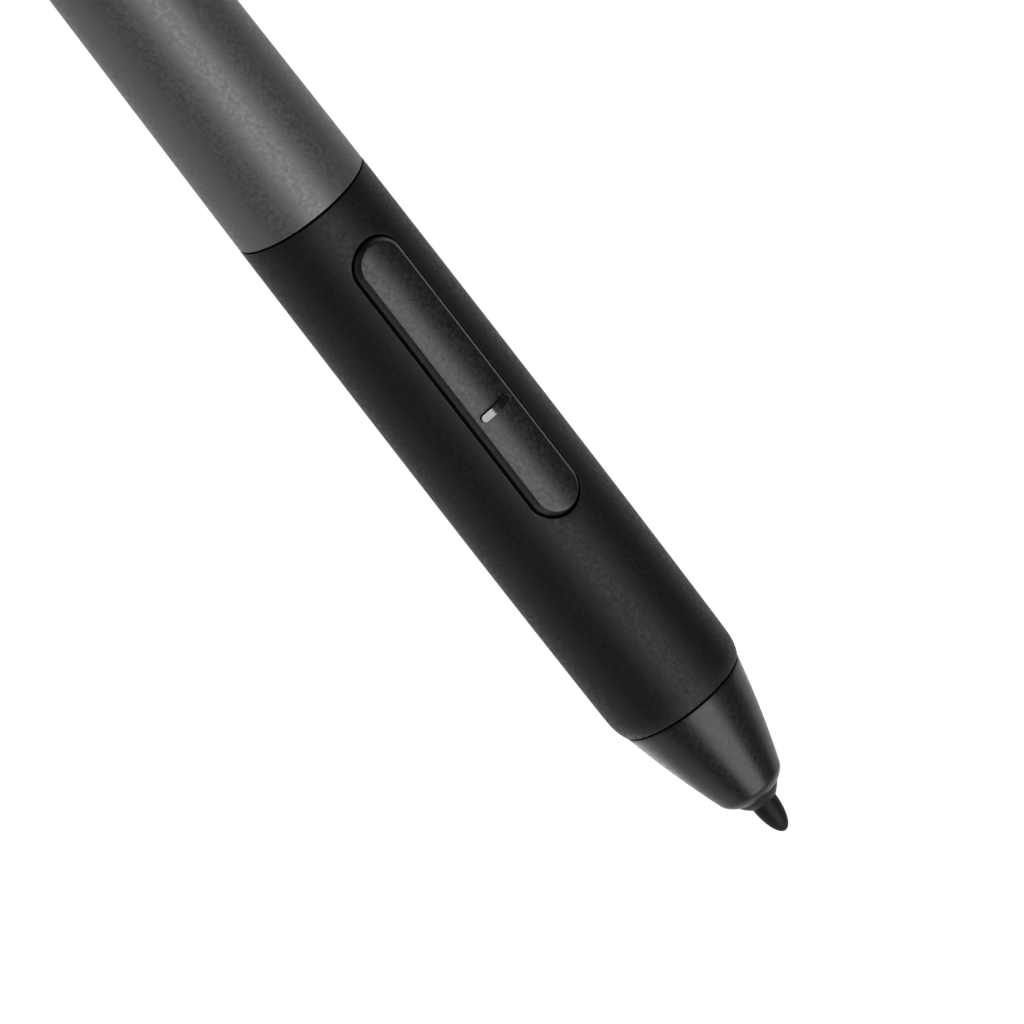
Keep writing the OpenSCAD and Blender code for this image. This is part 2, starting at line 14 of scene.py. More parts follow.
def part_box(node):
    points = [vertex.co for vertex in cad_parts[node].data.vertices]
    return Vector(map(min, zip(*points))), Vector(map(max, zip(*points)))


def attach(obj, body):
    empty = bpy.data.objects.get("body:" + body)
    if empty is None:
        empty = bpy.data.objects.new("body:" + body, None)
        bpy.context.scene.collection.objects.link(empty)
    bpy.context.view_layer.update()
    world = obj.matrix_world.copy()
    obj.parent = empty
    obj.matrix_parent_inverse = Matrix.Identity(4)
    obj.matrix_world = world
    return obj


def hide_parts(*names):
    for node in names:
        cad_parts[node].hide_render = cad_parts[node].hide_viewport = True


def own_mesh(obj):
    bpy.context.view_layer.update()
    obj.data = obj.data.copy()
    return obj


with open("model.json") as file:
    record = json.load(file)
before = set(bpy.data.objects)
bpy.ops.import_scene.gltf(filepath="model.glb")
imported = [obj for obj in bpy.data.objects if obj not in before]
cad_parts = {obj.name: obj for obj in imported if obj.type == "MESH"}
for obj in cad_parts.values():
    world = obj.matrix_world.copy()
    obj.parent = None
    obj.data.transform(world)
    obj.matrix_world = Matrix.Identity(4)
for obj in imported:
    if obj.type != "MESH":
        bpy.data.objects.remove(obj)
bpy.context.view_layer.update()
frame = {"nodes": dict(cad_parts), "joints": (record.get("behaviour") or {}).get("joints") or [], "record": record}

MM = 0.001
TURN = 2 * math.pi


# Places and sizes from the frame

def front(node):
    """How far behind the nib's point a node starts."""
    return POINT_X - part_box(node)[1].x


def rear(node):
    """How far behind the nib's point a node ends."""
    return POINT_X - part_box(node)[0].x


def joint(name):
    return next(j for j in frame["joints"] if j["name"] == name)


def axis_height():
    """Height of the pen's axis, on which the tail's land is centred."""
    land = next(m for m in frame["record"]["mounts"] if m["name"] == "tail_land")
    return land["pos_m"][2]


POINT_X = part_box("nib")[1].x
AXIS_Z = axis_height()
COLLAR_AT = front("nib_guide")
NOSE_AT = front("nose_cone")
GRIP_AT = front("grip_barrel")
REAR_AT = front("rear_barrel")
TAIL_AT = rear("rear_barrel")
PEN_END = rear("tail_cap")
GUIDE_END = rear("nib_guide")
SPIGOT_END = rear("nose_cone")
TENON_END = rear("grip_barrel")
NIB_END = rear("nib")
PLUG_AT = front("tail_cap")
CUSHION_AT = front("chassis_cushion")
CUSHION_END = rear("chassis_cushion")
CUSHION_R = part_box("chassis_cushion")[1].y
PAD_AT = front("pressure_pad")
PAD_END = rear("pressure_pad")
PAD_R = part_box("pressure_pad")[1].y
PIVOT = Vector(joint("rocker_tilt")["pos_m"])
ROCKER_AT = front("rocker_button")
ROCKER_END = rear("rocker_button")
ROCKER_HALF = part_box("rocker_button")[1].y
CROWN_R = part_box("rocker_button")[1].z - AXIS_Z
RIB_LOW, RIB_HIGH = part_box("rocker_rib")
STEM_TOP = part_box("upper_switch_stem")[1].z
SWITCHES_AT = [
    (front(name) + rear(name)) / 2 for name in ("lower_switch_stem", "upper_switch_stem")
]

# Outlines of the turned pieces
NIB_R = 1.13 * MM
STEM_R = 0.85 * MM
NIB_TAPER = 0.3 * MM
NIB_BORE_R = 1.21 * MM
COLLAR_LIP = 0.06 * MM
COLLAR_R = 2.04 * MM
COLLAR_BULGE = 0.06 * MM
GUIDE_R = 1.7 * MM
NOSE_EDGE_R = 2.08 * MM
NOSE_FRONT_R = 3.01 * MM
NOSE_ROUND = 1 * MM
NOSE_SEAM_R = 5.61 * MM
NOSE_BULGE = 0.16 * MM
NOSE_FLOOR = 0.5 * MM
COIL_BAY_R = 3.4 * MM
GRIP_R = 6.2 * MM
GRIP_BELLY = 26.7 * MM
GRIP_FRONT_DROP = 0.17 * MM
GRIP_REAR_DROP = 0.065 * MM
SHOULDER = 2.3 * MM
GRIP_BORE_R = 4.7 * MM
TENON_R = 5.2 * MM
REAR_SEAM_R = 6.125 * MM
TAIL_R = 5.3 * MM
TAIL_LAND_R = 5.25 * MM
TAIL_DOME = 2 * MM
TAIL_WALL = 1.1 * MM
PLUG_BORE_R = 4.25 * MM
BAY_STEP_R = 4.05 * MM
FIT_GAP = 0.05 * MM
PRESS_FIT = 0.005 * MM
SEAT_GAP = 0.1 * MM
# Rounding of the shells' edges at a seam, and half the dark line between them
SEAM_ROUND = 0.08 * MM
SEAM_GAP = 0.08 * MM

# Rocker
SLOT_GAP = 0.19 * MM
SLOT_ROUND = 0.1 * MM
CROWN_FALL = 0.28 * MM
CROWN_FALL_LENGTH = 4 * MM
ROCKER_UNDER = AXIS_Z + 4.2 * MM
EDGE_WIDTH = 0.33 * MM
EDGE_HEIGHT = 0.5 * MM
EDGE_ROUND = 0.06 * MM
RIB_ROUND = 0.08 * MM
LUG_HALF = 1.5 * MM
LUG_R = 0.9 * MM
LUG_ROOT = 1.2 * MM
PIN_BORE_R = 0.54 * MM
NUB_R = 0.7 * MM
NUB_GAP = 0.04 * MM
NUB_ROOT = 0.3 * MM

# Silicone pieces inside
PAD_CROWN = 0.12 * MM
CUSHION_WIDTH = 1.1 * MM
RUBBER_ROUND = 0.15 * MM

# Chip capacitors on the board
CAPACITOR_LENGTH = 1.6 * MM
CAPACITOR_PITCH = 2.4 * MM
CAPACITOR_END = 0.3 * MM
# Height of the glass cloth's weave under the board's lacquer
WEAVE_RELIEF = 0.01 * MM

# How finely round shapes are cut
SIDES = 160
ROUND = 64
# Distance under which two vertices are one, and by which a place on a surface may be off
SAME = 0.002 * MM
NEAR = 0.02 * MM


# Curves

def band(start, end, count):
    """Evenly spaced places, both ends included."""
    return [start + (end - start) * i / count for i in range(count + 1)]


def rounded(start, start_r, end, end_r, count=4):
    """A quarter ellipse that leaves the start along the radius and reaches the end along the pen."""
    angles = band(0, TURN / 4, count)
    return [
        (start + (end - start) * (1 - math.cos(a)), start_r + (end_r - start_r) * math.sin(a))
        for a in angles
    ]


def eased(start, corner, end, count=8):
    """A curve from one point to another that leans towards a corner."""
    shares = [(t * t, 2 * t * (1 - t), (1 - t) ** 2) for t in band(0, 1, count)]
    return [
        tuple(e * share[0] + c * share[1] + s * share[2] for s, c, e in zip(start, corner, end))
        for share in shares
    ]


def collar_radius(at):
    lip = NIB_BORE_R + COLLAR_LIP
    t = (at - COLLAR_AT) / (NOSE_AT - COLLAR_AT)
    return lip + (COLLAR_R - lip) * t + 4 * COLLAR_BULGE * t * (1 - t)


def nose_radius(at):
    start = NOSE_AT + NOSE_ROUND
    t = (at - start) / (GRIP_AT - start)
    return NOSE_FRONT_R + (NOSE_SEAM_R - NOSE_FRONT_R) * t + 4 * NOSE_BULGE * t * (1 - t)


def grip_radius(at):
    """The grip swells to its belly and turns in over a short shoulder at the nose."""
    belly = GRIP_AT + GRIP_BELLY
    if at > belly:
        return GRIP_R - GRIP_REAR_DROP * ((at - belly) / (REAR_AT - belly)) ** 2
    shoulder_drop = GRIP_R - GRIP_FRONT_DROP - NOSE_SEAM_R
    from_end = max(0, 1 - (at - GRIP_AT) / SHOULDER)
    return GRIP_R - GRIP_FRONT_DROP * ((belly - at) / GRIP_BELLY) ** 2 - shoulder_drop * from_end ** 3


def rear_radius(at):
    t = (at - REAR_AT) / (TAIL_AT - REAR_AT)
    return REAR_SEAM_R - (REAR_SEAM_R - TAIL_R) * t


def crown_radius(at):
    """The rocker's crown falls a little close to its upper end."""
    fall = max(0, 1 - (ROCKER_END - at) / CROWN_FALL_LENGTH)
    return CROWN_R - CROWN_FALL * fall ** 2


def rib_radius(at):
    return RIB_HIGH.z - AXIS_Z


# Modelling

def spot(at, radius):
    """A point above the pen's axis."""
    return Vector((POINT_X - at, 0, AXIS_Z + radius))


def pick(piece, test):
    """Enters edit mode with the vertices selected whose places pass a test."""
    bpy.ops.object.mode_set(mode="EDIT")
    bpy.ops.mesh.select_mode(type="VERT")
    bpy.ops.mesh.select_all(action="DESELECT")
    bpy.ops.object.mode_set(mode="OBJECT")
    for vertex in piece.data.vertices:
        vertex.select = test(vertex.co)
    bpy.ops.object.mode_set(mode="EDIT")


def close_up():
    """In edit mode: merges doubled vertices, turns the faces outwards and leaves edit mode."""
    bpy.ops.mesh.select_all(action="SELECT")
    bpy.ops.mesh.remove_doubles(threshold=SAME)
    bpy.ops.mesh.normals_make_consistent(inside=False)
    bpy.ops.object.mode_set(mode="OBJECT")


def named(name):
    """The object just made, under its name and with its place in its mesh."""
    piece = bpy.context.object
    piece.name = piece.data.name = name
    bpy.ops.object.transform_apply(location=True, rotation=True, scale=True)
    return piece


def modify(piece, kind, **settings):
    """Adds a modifier and applies it."""
    bpy.ops.object.select_all(action="DESELECT")
    bpy.context.view_layer.objects.active = piece
    piece.select_set(True)
    modifier = piece.modifiers.new(kind, kind)
    for name, value in settings.items():
        setattr(modifier, name, value)
    bpy.ops.object.modifier_apply(modifier=modifier.name)


def combine(piece, tool, operation):
    """Cuts a tool from a piece or fuses it on, and throws the tool away."""
    modify(piece, "BOOLEAN", object=tool, operation=operation, solver="EXACT")
    bpy.data.objects.remove(tool)


def turned(name, outline):
    """A shape of revolution: its outline drawn point by point, then spun about the pen's axis."""
    bpy.ops.object.select_all(action="DESELECT")
    bpy.ops.mesh.primitive_plane_add(size=MM, location=spot(*outline[0]))
    piece = named(name)
    bpy.ops.object.mode_set(mode="EDIT")
    bpy.ops.mesh.merge(type="CENTER")
    for before, after in zip(outline, outline[1:]):
        step = spot(*after) - spot(*before)
        bpy.ops.mesh.extrude_region_move(TRANSFORM_OT_translate={"value": step})
    bpy.ops.mesh.select_all(action="SELECT")
    bpy.ops.mesh.spin(steps=SIDES, angle=TURN, center=spot(0, 0), axis=(1, 0, 0))
    close_up()
    return piece


def pill(name, centre, length, half, cuts=0):
    """A flat face with round ends, along the pen. Leaves edit mode on with the face selected."""
    bpy.ops.object.select_all(action="DESELECT")
    bpy.ops.mesh.primitive_circle_add(
        vertices=ROUND, radius=half / math.cos(TURN / ROUND / 2), fill_type="NGON",
        location=centre, rotation=(0, 0, TURN / ROUND / 2),
    )
    piece = named(name)
    for side in (-1, 1):
        pick(piece, lambda co: (co.x - centre.x) * side > 0)
        bpy.ops.transform.translate(value=(side * (length / 2 - half), 0, 0))
        bpy.ops.object.mode_set(mode="OBJECT")
    if cuts:
        pick(piece, lambda co: abs(co.y - centre.y) > half - SAME)
        bpy.ops.mesh.subdivide(number_cuts=cuts)
    bpy.ops.object.mode_set(mode="EDIT")
    bpy.ops.mesh.select_all(action="SELECT")
    return piece


def extrude(x=0, y=0, z=0):
    bpy.ops.mesh.extrude_region_move(TRANSFORM_OT_translate={"value": (x, y, z)})


def lay(piece, height, radius_at, extra=0):
    """Drops the vertices at a height on to a turned surface, or so far above it."""
    places = band(ROCKER_AT - MM, ROCKER_END + MM, 60)
    former = turned("former", [(at, radius_at(at) + extra) for at in places])
    group = piece.vertex_groups.new(name="laid")
    group.add([v.index for v in piece.data.vertices if abs(v.co.z - height) < SAME], 1, "REPLACE")
    modify(
        piece, "SHRINKWRAP", target=former, vertex_group="laid", wrap_method="PROJECT",
        use_project_z=True, use_negative_direction=True, use_positive_direction=True,
    )
    bpy.data.objects.remove(former)
    piece.vertex_groups.clear()


def dress(finish, *nodes):
    """Gives a finish to inner pieces that stay as the frame has them."""
    for name in nodes:
        for slot in frame["nodes"][name].material_slots:
            slot.material = finish


def finished(piece, finish, body, slot, *nodes, angle=30):
    """Smooths a piece's round faces, gives it its finish and sets it on the frame."""
    bpy.ops.object.select_all(action="DESELECT")
    bpy.context.view_layer.objects.active = piece
    piece.select_set(True)
    bpy.ops.object.shade_smooth_by_angle(angle=math.radians(angle))
    modify(piece, "WEIGHTED_NORMAL", keep_sharp=True)
    piece.data.materials.clear()
    piece.data.materials.append(finish)
    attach(piece, body)
    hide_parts(*nodes)
    return piece


# Camera

# The picture is square and this many pixels wide
PICTURE = 1024
# Width of what it shows at the pen
VIEW_WIDTH = 81.7 * MM
# How far the nib's end leans away from the camera, and the rocker away from facing it
CAMERA_TILT = math.radians(16.5)
CAMERA_TURN = math.radians(20)
# How far the pen points below the horizontal in the picture
PEN_SLANT = math.radians(52.22)
# Where the middle of the rear barrel's seam is seen
SEAM_PIXEL = (300.7, 203.9)
CAMERA_DISTANCE = 3.0


def facing(right, back, place):
    """The matrix of something that looks along -back, with its own X along right."""
    matrix = Matrix((right, back.cross(right), back)).transposed().to_4x4()
    matrix.translation = place
    return matrix


def add_camera():
    back = Vector((
        -math.sin(CAMERA_TILT),
        -math.cos(CAMERA_TILT) * math.sin(CAMERA_TURN),
        math.cos(CAMERA_TILT) * math.cos(CAMERA_TURN),
    ))
    along = (Vector((1, 0, 0)) - back * back.x).normalized()
    across = back.cross(along)
    right = along * math.cos(PEN_SLANT) + across * math.sin(PEN_SLANT)
    up = back.cross(right)
    pixel = VIEW_WIDTH / PICTURE
    target = spot(REAR_AT, 0)
    target += right * (PICTURE / 2 - SEAM_PIXEL[0]) * pixel
    target -= up * (PICTURE / 2 - SEAM_PIXEL[1]) * pixel
    lens = bpy.data.cameras.new("camera")
    lens.lens = lens.sensor_width * CAMERA_DISTANCE / VIEW_WIDTH
    camera = bpy.data.objects.new("camera", lens)
    camera.matrix_world = facing(right, back, target + back * CAMERA_DISTANCE)
    bpy.context.scene.collection.objects.link(camera)
    bpy.context.scene.camera = camera
    bpy.context.scene.view_settings.view_transform = "Standard"
    return target


# Finishes

# Sockets of a colour mix: its share, the two colours and the result
MIX_SHARE, MIX_DARK, MIX_LIGHT, MIX_RESULT = 0, 6, 7, 2
# Length of one wave of a wave texture whose scale is 1
WAVE = TURN / 20
# Values between which most of a noise texture lies
NOISE_LOW, NOISE_HIGH = 0.3, 0.7


def colour(hex_code):
    """An sRGB hex value as linear red, green, blue and alpha."""
    parts = [int(hex_code[i:i + 2], 16) / 255 for i in (1, 3, 5)]
    return [c / 12.92 if c <= 0.04045 else ((c + 0.055) / 1.055) ** 2.4 for c in parts] + [1]


def add(tree, kind, inputs=None, **settings):
    """One node with its settings. Each input is a value, or another node's output to link."""
    new = tree.nodes.new(kind)
    for name, value in settings.items():
        setattr(new, name, value)
    for name, value in (inputs or {}).items():
        if isinstance(value, bpy.types.NodeSocket):
            tree.links.new(value, new.inputs[name])
        else:
            new.inputs[name].default_value = value
    return new


def blank(name):
    """A material with an output and nothing else, and the place of each point on the pen."""
    material = bpy.data.materials.new(name)
    material.use_nodes = True
    tree = material.node_tree
    tree.nodes.clear()
    place = add(tree, "ShaderNodeTexCoord").outputs["Object"]
    return material, tree, place


def surface(tree, inputs):
    """Ends a material in one shader with these inputs."""
    shader = add(tree, "ShaderNodeBsdfPrincipled", inputs)
    add(tree, "ShaderNodeOutputMaterial", {"Surface": shader.outputs["BSDF"]})


def moulded_plastic(name, dark, light, shine, roughness, grain_mm, relief_mm, spread=0.03):
    """Moulded plastic: the grain of its mould breaks up the shine into a fine mottle.

    A real grain is about 0.1 mm, so on the outer shells it is drawn coarser, to show.
    """
    material, tree, place = blank(name)
    grain = add(tree, "ShaderNodeTexNoise", {
        "Vector": place, "Scale": 1 / (grain_mm * MM), "Detail": 1.0,
    })
    tint = add(tree, "ShaderNodeMix", {
        MIX_SHARE: grain.outputs["Fac"], MIX_DARK: colour(dark), MIX_LIGHT: colour(light),
    }, data_type="RGBA")
    sheen = add(tree, "ShaderNodeMapRange", {
        "Value": grain.outputs["Fac"], "From Min": NOISE_LOW, "From Max": NOISE_HIGH,
        "To Min": roughness - spread, "To Max": roughness + spread,
    })
    bump = add(tree, "ShaderNodeBump", {
        "Height": grain.outputs["Fac"], "Distance": relief_mm * MM, "Strength": 1.0,
    })
    surface(tree, {
        "Base Color": tint.outputs[MIX_RESULT], "Roughness": sheen.outputs["Result"],
        "Normal": bump.outputs["Normal"], "Specular IOR Level": shine,
    })
    return material


def bare_metal(name, dark, light, roughness, grain_mm):
    """Drawn or ground metal: bright, with a fine grain that blurs its reflections unevenly."""
    material, tree, place = blank(name)
    grain = add(tree, "ShaderNodeTexNoise", {
        "Vector": place, "Scale": 1 / (grain_mm * MM), "Detail": 4.0,
    })
    tint = add(tree, "ShaderNodeMix", {
        MIX_SHARE: grain.outputs["Fac"], MIX_DARK: colour(dark), MIX_LIGHT: colour(light),
    }, data_type="RGBA")
    blur = add(tree, "ShaderNodeMapRange", {
        "Value": grain.outputs["Fac"], "To Min": roughness / 2, "To Max": roughness * 1.5,
    })
    surface(tree, {
        "Base Color": tint.outputs[MIX_RESULT], "Roughness": blur.outputs["Result"], "Metallic": 1.0,
    })
    return material


def wound_wire(name, dark, light, turn_mm):
    """Enamelled wire wound in close turns: rows of round, warm highlights.

    The wire is drawn coarser than the real one, so that its turns show.
    """
    material, tree, place = blank(name)
    turns = add(tree, "ShaderNodeTexWave", {
        "Vector": place, "Scale": WAVE / (turn_mm * MM), "Distortion": 0.3, "Detail": 1.0,
    }, bands_direction="X")
    tint = add(tree, "ShaderNodeMix", {
        MIX_SHARE: turns.outputs["Fac"], MIX_DARK: colour(dark), MIX_LIGHT: colour(light),
    }, data_type="RGBA")
    bump = add(tree, "ShaderNodeBump", {
        "Height": turns.outputs["Fac"], "Distance": turn_mm / 4 * MM, "Strength": 1.0,
    })
    surface(tree, {
        "Base Color": tint.outputs[MIX_RESULT], "Normal": bump.outputs["Normal"],
        "Metallic": 1.0, "Roughness": 0.3, "Coat Weight": 0.6, "Coat Roughness": 0.15,
    })
    return material


def woven_laminate(name, dark, light, weave_mm):
    """Circuit board: green lacquer over glass cloth, whose weave shows as a faint chequer."""
    material, tree, place = blank(name)
    threads = [
        add(tree, "ShaderNodeTexWave", {
            "Vector": place, "Scale": WAVE / (weave_mm * MM), "Distortion": 0.5, "Detail": 1.0,
        }, bands_direction=axis).outputs["Fac"]
        for axis in "XY"
    ]
    crossed = add(tree, "ShaderNodeMath", {0: threads[0], 1: threads[1]}, operation="MULTIPLY")
    weave = crossed.outputs["Value"]
    tint = add(tree, "ShaderNodeMix", {
        MIX_SHARE: weave, MIX_DARK: colour(dark), MIX_LIGHT: colour(light),
    }, data_type="RGBA")
    bump = add(tree, "ShaderNodeBump", {"Height": weave, "Distance": WEAVE_RELIEF, "Strength": 0.5})
    surface(tree, {
        "Base Color": tint.outputs[MIX_RESULT], "Normal": bump.outputs["Normal"],
        "Roughness": 0.35, "Specular IOR Level": 0.5,
    })
    return material


def tinned_ceramic(name, body, tin, first_x):
    """Chip capacitors in a row: a brown ceramic body between two bright tinned ends."""
    material, tree, place = blank(name)
    half = CAPACITOR_LENGTH / 2
    value = add(tree, "ShaderNodeSeparateXYZ", {"Vector": place}).outputs["X"]
    # From the place along the row to the place on one capacitor, then how far that is from its middle
    for operation, inputs in (
        ("SUBTRACT", (first_x, None)), ("MODULO", (None, CAPACITOR_PITCH)), ("SUBTRACT", (None, half)),
        ("ABSOLUTE", (None, 0.0)), ("GREATER_THAN", (None, half - CAPACITOR_END)),
    ):
        given = {i: value if number is None else number for i, number in enumerate(inputs)}
        value = add(tree, "ShaderNodeMath", given, operation=operation).outputs["Value"]
    tint = add(tree, "ShaderNodeMix", {
        MIX_SHARE: value, MIX_DARK: colour(body), MIX_LIGHT: colour(tin),
    }, data_type="RGBA")
    surface(tree, {"Base Color": tint.outputs[MIX_RESULT], "Metallic": value, "Roughness": 0.4})
    return material


# Lights and floor

WORLD_LIGHT = 0.045
FLOOR_SIZE = 6.0
FLOOR_GLOW = 1.0
# The floor glows brighter round a place beside the nose, a painted pool of light that shines on the nose's rims
FLOOR_PAINTED_POOL = 1.0
FLOOR_PAINTED_POOL_CENTRE = Vector((71.5, -1, 0)) * MM
FLOOR_PAINTED_POOL_LENGTH = 6.5 * MM
FLOOR_PAINTED_POOL_WIDTH = 18 * MM
# Share of the painted pool of light's radius over which its glow falls away
FLOOR_PAINTED_POOL_FALL = 0.6
SOFTBOX_DISTANCE = 0.6
SOFTBOX_STEP = 0.01
SOFTBOX_LENGTH = 1.05
SOFTBOX_LEAN = math.radians(32)
SOFTBOX_SIDE = math.radians(-6.6)
# Half the angle that each layer of the softbox covers round the pen, and the light that it adds
SOFTBOX_LAYERS = ((20.9, 5.4), (30, 0.25))


def add_lights(target):
    """One long softbox over the pen, brighter in its middle, in a dim room."""
    towards = Vector((
        math.sin(SOFTBOX_LEAN),
        math.cos(SOFTBOX_LEAN) * math.sin(SOFTBOX_SIDE),
        math.cos(SOFTBOX_LEAN) * math.cos(SOFTBOX_SIDE),
    ))
    along = (Vector((1, 0, 0)) - towards * towards.x).normalized()
    for layer, (half_angle, radiance) in enumerate(SOFTBOX_LAYERS):
        distance = SOFTBOX_DISTANCE + layer * SOFTBOX_STEP
        light = bpy.data.lights.new(f"softbox_{layer}", "AREA")
        light.shape = "RECTANGLE"
        light.size = SOFTBOX_LENGTH
        light.size_y = 2 * distance * math.tan(math.radians(half_angle))
        light.energy = radiance * math.pi * light.size * light.size_y
        panel = bpy.data.objects.new(light.name, light)
        panel.matrix_world = facing(along, towards, target + towards * distance)
        bpy.context.scene.collection.objects.link(panel)
    world = bpy.data.worlds.new("studio")
    world.use_nodes = True
    world.node_tree.nodes["Background"].inputs["Color"].default_value = (WORLD_LIGHT,) * 3 + (1,)
    bpy.context.scene.world = world


def add_floor():
    """A pale floor that glows plain white, and glows brighter in a painted pool of light beside the nose."""
    material, tree, place = blank("glowing_floor_painted_pool")
    # Painted pool of light: the floor's glow rises round a place beside the nose
    from_painted_pool = add(tree, "ShaderNodeMapping", {
        "Vector": place, "Location": FLOOR_PAINTED_POOL_CENTRE,
        "Scale": (FLOOR_PAINTED_POOL_LENGTH, FLOOR_PAINTED_POOL_WIDTH, 1),
    }, vector_type="TEXTURE")
    fall = add(tree, "ShaderNodeTexGradient", {
        "Vector": from_painted_pool.outputs["Vector"],
    }, gradient_type="SPHERICAL")
    glow = add(tree, "ShaderNodeMapRange", {
        "Value": fall.outputs["Fac"], "From Max": FLOOR_PAINTED_POOL_FALL,
        "To Min": FLOOR_GLOW, "To Max": FLOOR_GLOW + FLOOR_PAINTED_POOL,
    })
    surface(tree, {
        "Base Color": colour("#222222"), "Roughness": 1.0, "Specular IOR Level": 0.0,
        "Emission Color": colour("#ffffff"), "Emission Strength": glow.outputs["Result"],
    })
    bpy.ops.object.select_all(action="DESELECT")
    bpy.ops.mesh.primitive_plane_add(size=FLOOR_SIZE)
    floor = named("floor")
    floor.data.materials.append(material)


# Pieces

def front_edge(at, radius_at):
    """A shell's rounded front edge at a seam."""
    start = at + SEAM_GAP
    edge = start + SEAM_ROUND
    return rounded(start, radius_at(start) - SEAM_ROUND, edge, radius_at(edge))


def rear_edge(at, radius_at):
    """A shell's rounded rear edge at a seam."""
    end = at - SEAM_GAP
    edge = end - SEAM_ROUND
    return rounded(end, radius_at(end) - SEAM_ROUND, edge, radius_at(edge))[::-1]


def flank(start, end, radius_at, count):
    """The points of a curved outline between its ends, which other curves hold."""
    return [(at, radius_at(at)) for at in band(start, end, count)[1:-1]]


def make_nib():
    taper = GUIDE_END + SEAT_GAP
    return turned("pen_nib", [
        *rounded(0, 0, COLLAR_AT, NIB_R, 20),
        (taper, NIB_R),
        (taper + NIB_TAPER, STEM_R),
        *rounded(NIB_END, STEM_R / 2, NIB_END - STEM_R / 2, STEM_R)[::-1],
        (NIB_END, 0),
    ])


def make_guide():
    return turned("nib_collar", [
        (GUIDE_END, NIB_BORE_R),
        (COLLAR_AT, NIB_BORE_R),
        *[(at, collar_radius(at)) for at in band(COLLAR_AT, NOSE_AT, 10)],
        (NOSE_AT, GUIDE_R),
        (GUIDE_END, GUIDE_R),
        (GUIDE_END, NIB_BORE_R),
    ])


def make_nose():
    flank_at = NOSE_AT + NOSE_ROUND
    corner_at = (NOSE_AT + flank_at) / 2
    corner = (corner_at, nose_radius(corner_at))
    bay_at = GUIDE_END + NOSE_FLOOR
    bore_r = GUIDE_R + FIT_GAP
    spigot_r = GRIP_BORE_R - FIT_GAP
    seam = rear_edge(GRIP_AT, nose_radius)
    return turned("nose_shell", [
        (bay_at, bore_r),
        (NOSE_AT, bore_r),
        *eased((NOSE_AT, NOSE_EDGE_R), corner, (flank_at, NOSE_FRONT_R), 12),
        *flank(flank_at, seam[0][0], nose_radius, 24),
        *seam,
        (seam[-1][0], spigot_r),
        (SPIGOT_END, spigot_r),
        (SPIGOT_END, COIL_BAY_R),
        (bay_at, COIL_BAY_R),
        (bay_at, bore_r),
    ])


def slot_cutter():
    """A tool for the rocker's slot. It flares where it leaves the grip, which rounds the slot's rim."""
    half = ROCKER_HALF + SLOT_GAP
    length = ROCKER_END - ROCKER_AT + 2 * SLOT_GAP
    # How far each ring stands out of the slot's wall and above the grip, in rim radii
    rings = ((1.5, 0.2), (0.29, -0.29), (0, -1))
    widest = rings[0][0] * SLOT_ROUND
    levels = [AXIS_Z + GRIP_R + (len(rings) - i) * MM for i in range(len(rings))]
    middle = spot((ROCKER_AT + ROCKER_END) / 2, 0)
    middle.z = levels[0] + MM
    cutter = pill("slot_cutter", middle, length + 2 * widest, half + widest, cuts=40)
    extrude(z=-MM)
    for outer, inner in zip(rings, rings[1:]):
        bpy.ops.mesh.inset(thickness=(outer[0] - inner[0]) * SLOT_ROUND)
        bpy.ops.transform.translate(value=(0, 0, -MM))
    extrude(z=AXIS_Z - levels[-1])
    close_up()
    for level, ring in zip(levels, rings):
        lay(cutter, level, grip_radius, ring[1] * SLOT_ROUND)
    return cutter


def make_grip():
    start = front_edge(GRIP_AT, grip_radius)
    end = rear_edge(REAR_AT, grip_radius)
    shoulder = GRIP_AT + SHOULDER
    grip = turned("grip_shell", [
        (start[0][0], GRIP_BORE_R),
        *start,
        *flank(start[-1][0], shoulder, grip_radius, 12),
        *flank(shoulder, end[0][0], grip_radius, 48),
        *end,
        (end[-1][0], TENON_R),
        (TENON_END, TENON_R),
        (TENON_END, GRIP_BORE_R),
        (start[0][0], GRIP_BORE_R),
    ])
    combine(grip, slot_cutter(), "DIFFERENCE")
    return grip


def make_rear():
    start = front_edge(REAR_AT, rear_radius)
    end = rear_edge(TAIL_AT, rear_radius)
    socket_r = TENON_R + FIT_GAP
    socket_end = TENON_END + SEAT_GAP
    return turned("rear_shell", [
        (start[0][0], socket_r),
        *start,
        *end,
        (end[-1][0], PLUG_BORE_R),
        (PLUG_AT - SEAT_GAP, PLUG_BORE_R),
        (CUSHION_END + FIT_GAP, BAY_STEP_R),
        (CUSHION_END + FIT_GAP, GRIP_BORE_R),
        (socket_end, GRIP_BORE_R),
        (socket_end, socket_r),
        (start[0][0], socket_r),
    ])


def make_tail():
    dome_at = PEN_END - TAIL_DOME
    plug_r = PLUG_BORE_R - FIT_GAP
    hollow_r = plug_r - TAIL_WALL
    start = front_edge(TAIL_AT, lambda at: TAIL_LAND_R)
    return turned("tail_plug", [
        (dome_at - TAIL_WALL, 0),
        (dome_at - TAIL_WALL, hollow_r),
        (PLUG_AT, hollow_r),
        (PLUG_AT, plug_r),
        (start[0][0], plug_r),
        *start,
        *rounded(PEN_END, 0, dome_at, TAIL_LAND_R, 20)[::-1],
    ])


def make_cushion():
    """The silicone ring that takes up the play behind the chassis."""
    inner_r = CUSHION_R - CUSHION_WIDTH
    start = CUSHION_AT + RUBBER_ROUND
    end = CUSHION_END - RUBBER_ROUND
    return turned("chassis_ring", [
        *rounded(CUSHION_AT, CUSHION_R - RUBBER_ROUND, start, CUSHION_R),
        *rounded(CUSHION_END, CUSHION_R - RUBBER_ROUND, end, CUSHION_R)[::-1],
        *rounded(CUSHION_END, inner_r + RUBBER_ROUND, end, inner_r),
        *rounded(CUSHION_AT, inner_r + RUBBER_ROUND, start, inner_r)[::-1],
        (CUSHION_AT, CUSHION_R - RUBBER_ROUND),
    ])


